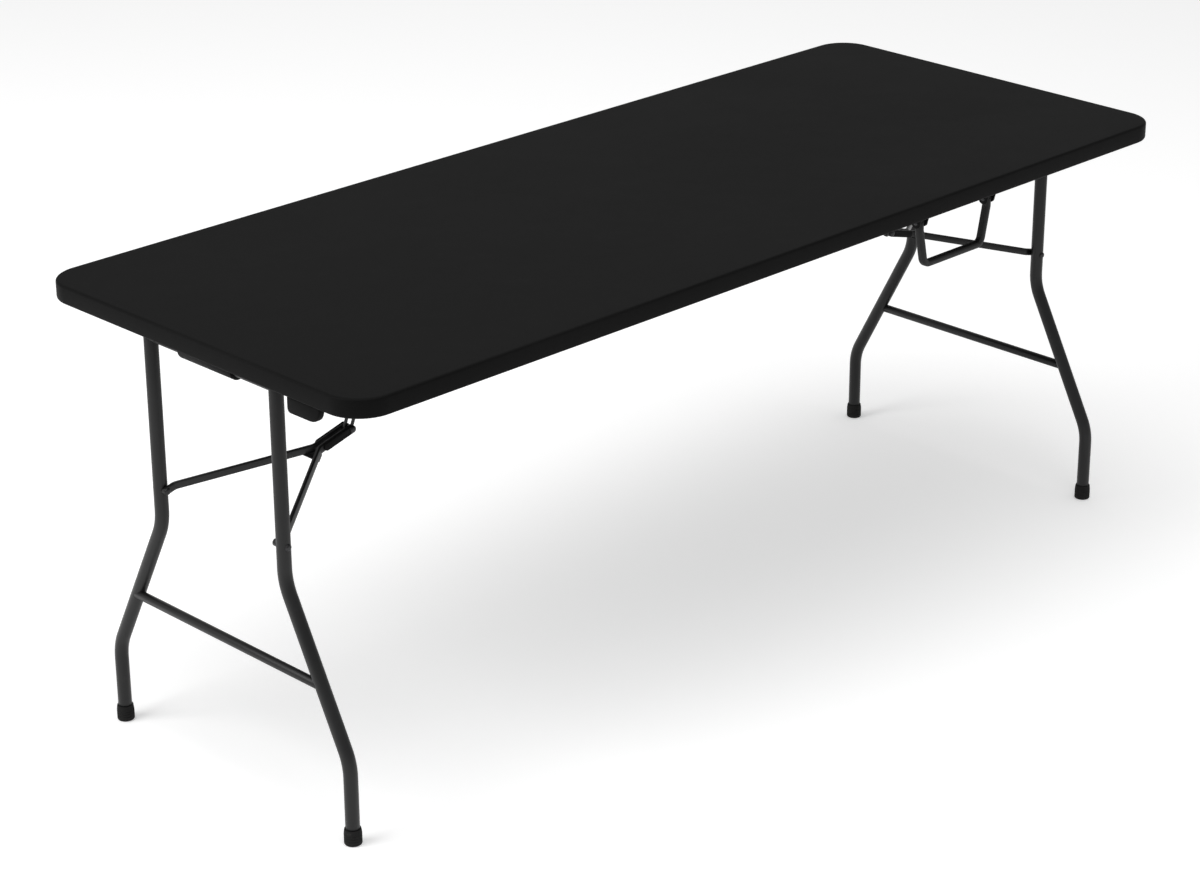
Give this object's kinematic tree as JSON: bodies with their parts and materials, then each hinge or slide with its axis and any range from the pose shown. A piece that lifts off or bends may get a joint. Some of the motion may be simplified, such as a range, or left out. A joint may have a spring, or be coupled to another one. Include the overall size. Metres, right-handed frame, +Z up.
{
  "type": "folding table",
  "caption": "Rectangular banquet table with a moulded top and two wishbone leg frames that fold flat under it, each held open by a slotted brace, with a swing carry handle.",
  "frame": {"origin": "on the floor under the middle of the top", "axes": "+Z up, +X along the length of the top, +Y across it, away from the side that carries the handle"},
  "size_m": [1.83, 0.73, 0.732],
  "materials": {
    "moulded_top": "fine leather-like grain on black blow-moulded polyethylene",
    "painted_steel": "charcoal powder coat, satin, with a fine orange-peel",
    "handle_plastic": "black moulded nylon, satin",
    "black_nylon": "black moulded nylon brackets, satin",
    "foot_rubber": "black rubber, matt",
    "fasteners": "black zinc-plated steel rivets and screws"
  },
  "bodies": {
    "top": {"table_top": "moulded_top", "near_rail": "painted_steel", "far_rail": "painted_steel", "end_tab": "moulded_top", "left_pivot_saddle": "black_nylon", "left_saddle_screw_1": "fasteners", "left_saddle_screw_2": "fasteners", "left_link_pin": "fasteners", "left_near_link_ear": "painted_steel", "left_far_link_ear": "painted_steel", "left_near_leg_clip": "black_nylon", "left_far_leg_clip": "black_nylon", "right_pivot_saddle": "black_nylon", "right_saddle_screw_1": "fasteners", "right_saddle_screw_2": "fasteners", "right_link_pin": "fasteners", "right_near_link_ear": "painted_steel", "right_far_link_ear": "painted_steel", "right_near_leg_clip": "black_nylon", "right_far_leg_clip": "black_nylon", "handle_bracket_1": "black_nylon", "handle_pin_1": "fasteners", "handle_bracket_2": "black_nylon", "handle_pin_2": "fasteners"},
    "left_leg_frame": {"left_near_leg": "painted_steel", "left_far_leg": "painted_steel", "left_pivot_tube": "painted_steel", "left_crossbar": "painted_steel", "left_near_foot": "foot_rubber", "left_far_foot": "foot_rubber", "left_near_brace_rivet": "fasteners", "left_far_brace_rivet": "fasteners"},
    "left_brace": {"left_near_brace_arm": "painted_steel", "left_far_brace_arm": "painted_steel", "left_near_knuckle_cover": "black_nylon", "left_far_knuckle_cover": "black_nylon", "left_brace_gusset": "painted_steel", "left_knuckle_pin": "fasteners"},
    "left_link": {"left_upper_link": "painted_steel"},
    "right_leg_frame": {"right_near_leg": "painted_steel", "right_far_leg": "painted_steel", "right_pivot_tube": "painted_steel", "right_crossbar": "painted_steel", "right_near_foot": "foot_rubber", "right_far_foot": "foot_rubber", "right_near_brace_rivet": "fasteners", "right_far_brace_rivet": "fasteners"},
    "right_brace": {"right_near_brace_arm": "painted_steel", "right_far_brace_arm": "painted_steel", "right_near_knuckle_cover": "black_nylon", "right_far_knuckle_cover": "black_nylon", "right_brace_gusset": "painted_steel", "right_knuckle_pin": "fasteners"},
    "right_link": {"right_upper_link": "painted_steel"},
    "handle": {"carry_handle": "handle_plastic"}
  },
  "joints": [
    {"name": "left_leg_fold", "type": "hinge", "parent": "top", "child": "left_leg_frame", "pos_m": [-0.877, 0, 0.69], "axis": [0, -1, 0], "range_deg": [0, 90]},
    {"name": "left_brace_swing", "type": "hinge", "parent": "left_leg_frame", "child": "left_brace", "pos_m": [-0.877, 0, 0.44], "axis": [0, -1, 0], "range_deg": [-102, 0]},
    {"name": "left_link_swing", "type": "hinge", "parent": "top", "child": "left_link", "pos_m": [-0.547, 0, 0.7045], "axis": [0, -1, 0], "range_deg": [0, 113]},
    {"name": "right_leg_fold", "type": "hinge", "parent": "top", "child": "right_leg_frame", "pos_m": [0.877, 0, 0.69], "axis": [0, 1, 0], "range_deg": [0, 90]},
    {"name": "right_brace_swing", "type": "hinge", "parent": "right_leg_frame", "child": "right_brace", "pos_m": [0.877, 0, 0.44], "axis": [0, 1, 0], "range_deg": [-102, 0]},
    {"name": "right_link_swing", "type": "hinge", "parent": "top", "child": "right_link", "pos_m": [0.547, 0, 0.7045], "axis": [0, 1, 0], "range_deg": [0, 113]},
    {"name": "handle_swing", "type": "hinge", "parent": "top", "child": "handle", "pos_m": [0.396, -0.333, 0.686], "axis": [1, 0, 0], "range_deg": [-90, 60]}
  ],
  "couplings": [
    {"joint": "left_brace_swing", "follows": "left_leg_fold", "ratio": -1.1319},
    {"joint": "left_link_swing", "follows": "left_leg_fold", "ratio": 1.2518},
    {"joint": "right_brace_swing", "follows": "right_leg_fold", "ratio": -1.1319},
    {"joint": "right_link_swing", "follows": "right_leg_fold", "ratio": 1.2518}
  ]
}
